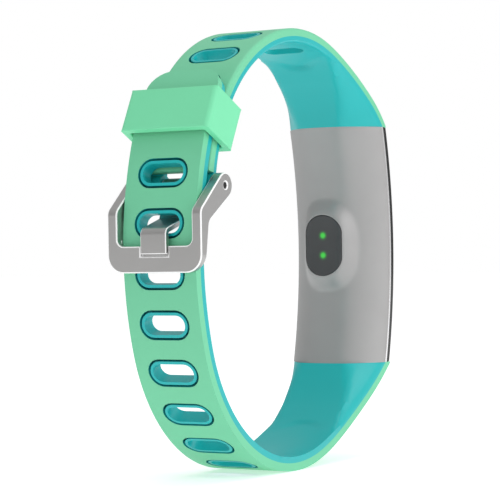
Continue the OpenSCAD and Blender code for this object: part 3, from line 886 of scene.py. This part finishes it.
def makeBuckle():
    front, low = buckleLow.y, buckleLow.z
    bend, back = Vector((front, buckle["bend"])), Vector(buckle["backBend"])
    top = tangentPoint(bend, eyeCentre, buckle["eye"], 1)
    under = tangentPoint(back, eyeCentre, buckle["eye"], -1)
    start, end = top - eyeCentre, under - eyeCentre
    turn = end.angle_signed(start)
    if turn > 0:
        turn -= 2 * math.pi
    eye = [eyeCentre + Matrix.Rotation(turn * i / 20, 2) @ start for i in range(21)]
    foot = Vector((front, low))
    outline = [foot] + roundCorner(foot, bend, top, buckle["bendRound"]) + eye
    outline += roundCorner(under, back, Vector((front + buckle["barThick"], low)), buckle["bendRound"])
    outline += [Vector((front + buckle["barThick"], low))]
    body = prism("buckle_frame_body", outline, "X", buckleLow.x, buckleHigh.x)
    half, clear = buckleHigh.x, buckle["clear"]
    corner = Vector((half, low))
    right = roundCorner(Vector((half, clear)), corner, Vector((0, low)), buckle["cornerOut"], 8)
    shape = [Vector((half, clear))] + right + [Vector((-p.x, p.y)) for p in reversed(right)]
    shape += [Vector((-half, clear))]
    cut(body, prism("frontOutline", shape, "Y", front - 5 * mm, front + clear), "INTERSECT")
    inside, barTop = half - buckle["side"], low + buckle["barHigh"]
    right = roundCorner(Vector((inside, clear)), Vector((inside, barTop)), Vector((0, barTop)),
                        buckle["cornerIn"], 6)
    shape = [Vector((inside, clear))] + right + [Vector((-p.x, p.y)) for p in reversed(right)]
    shape += [Vector((-inside, clear))]
    cut(body, prism("opening", shape, "Y", front - 5 * mm, front + clear))
    backAt = front + buckle["barThick"]
    cut(body, cube("barBack", (2 * inside, 10 * mm, 30 * mm), (0, backAt + 5 * mm, 0)))
    recessTop = buckle["recessTop"]
    cut(body, cube("recess", (buckle["recessWide"], 2 * buckle["recess"], recessTop - buckle["recessFrom"]),
                   (0, front, (recessTop + buckle["recessFrom"]) / 2)))
    cut(body, crossRod("eyeBore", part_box("buckle_pin")[1].z - pinMiddle.z, 40 * mm, pinMiddle, 32))
    body.data.materials.append(steelPaint)
    body.data.materials.append(highlightEdgePaint)
    tidyMesh(body)
    # the bevel faces take the white painted highlight
    modify(body, "BEVEL", limit_method="ANGLE", angle_limit=math.radians(40),
           width=buckle["edge"], segments=2, material=1, use_clamp_overlap=False)
    finishMesh(body)
    return body


def makeProng():
    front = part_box("buckle_prong")[0].y + prongShape["thick"] / 2
    fold, back = Vector((front, prongShape["fold"])), Vector(prongShape["back"])
    tip = Vector((front, prongShape["tip"]))
    path = [tip, tip.lerp(fold, 0.3)] + roundCorner(tip, fold, back, prongShape["foldRound"])
    path += roundCorner(fold, back, eyeCentre, prongShape["foldRound"]) + [eyeCentre.copy()]
    half = prongShape["wide"] / 2
    strip = newPiece("buckle_prong_hook", bpy.ops.mesh.primitive_plane_add, size=1)
    ends = [(-half, path[0]), (half, path[0]), (-half, path[1]), (half, path[1])]
    for vertex, (x, spot) in zip(strip.data.vertices, ends):
        vertex.co = (x, spot.x, spot.y)
    for before, after in zip(path[1:], path[2:]):
        pick(strip, lambda v: (Vector((v.co.y, v.co.z)) - before).length < hair, "VERT")
        bpy.ops.mesh.select_mode(type="EDGE")
        step = after - before
        bpy.ops.mesh.extrude_region_move(TRANSFORM_OT_translate={"value": (0, step.x, step.y)})
        done()
    modify(strip, "SOLIDIFY", thickness=prongShape["thick"], offset=0, use_even_offset=True)
    tidyMesh(strip)
    cut(strip, crossRod("prongEye", prongShape["eye"], prongShape["wide"], pinMiddle), "UNION")
    cut(strip, crossRod("prongBore", knuckle["bore"], knuckle["boreLong"], pinMiddle, 32))
    strip.data.materials.append(steelPaint)
    strip.data.materials.append(highlightEdgePaint)
    tidyMesh(strip)
    # the bevel faces take the white painted highlight
    modify(strip, "BEVEL", limit_method="ANGLE", angle_limit=math.radians(50), width=prongShape["edge"],
           segments=2, material=1, use_clamp_overlap=False)
    finishMesh(strip)
    return strip


buckleBody = makeBuckle()
prongHook = makeProng()
dress(buckleBody, "frame", "satin_steel", "buckle_frame")
dress(prongHook, "prong", "satin_steel", "buckle_prong")
print("buckle made")

studio = {"floorSize": 6.0, "air": 0.5, "fromSide": 0.12, "fromAbove": 0.26, "key": 1.05, "top": 0.9}


def panelLight(name, place, size, power):
    data = bpy.data.lights.new(name, "AREA")
    data.shape = "DISK"
    data.size = size
    data.energy = power
    lamp = bpy.data.objects.new(name, data)
    bpy.context.scene.collection.objects.link(lamp)
    lamp.location = place
    lamp.rotation_euler = (-Vector(place)).to_track_quat("-Z", "Y").to_euler()


def makeStudio():
    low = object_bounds()[0]
    floor = newPiece("floor", bpy.ops.mesh.primitive_plane_add, size=studio["floorSize"],
                     location=(0, 0, low.z - hair))
    paint = Paint("paleFloor", (0.93, 0.93, 0.93), 0.9)
    paint.set("Emission Color", (1, 1, 1, 1))
    paint.set("Emission Strength", 0.42)
    floor.data.materials.append(paint.material)
    panelLight("key", (0.6, 0.0, 0.25), 0.4, studio["key"])
    panelLight("top", (0.05, 0.0, 0.7), 0.4, studio["top"])
    world = bpy.data.worlds.new("air")
    world.use_nodes = True
    bpy.context.scene.world = world
    lightAir(world.node_tree)
    bpy.context.scene.view_settings.view_transform = "Standard"


def lightAir(tree):  # white to look at, and brighter as light from the right and from above
    def node(kind, operation=None, *values):
        made = tree.nodes.new(kind)
        if operation:
            made.operation = operation
        for number, value in enumerate(values):
            if hasattr(value, "is_linked"):
                tree.links.new(value, made.inputs[number])
            else:
                made.inputs[number].default_value = value
        return made.outputs

    direction = node("ShaderNodeSeparateXYZ", None, node("ShaderNodeTexCoord")["Generated"])
    side = node("ShaderNodeMath", "MULTIPLY_ADD", direction["X"], studio["fromSide"], studio["air"])[0]
    height = node("ShaderNodeMath", "ABSOLUTE", direction["Z"])[0]
    light = node("ShaderNodeMath", "MULTIPLY_ADD", height, studio["fromAbove"], side)[0]
    seen = node("ShaderNodeLightPath")["Is Camera Ray"]
    background = tree.nodes["Background"]
    tree.links.new(node("ShaderNodeMath", "MAXIMUM", light, seen)[0], background.inputs["Strength"])
    background.inputs["Color"].default_value = (1, 1, 1, 1)


makeStudio()
print("studio lit")
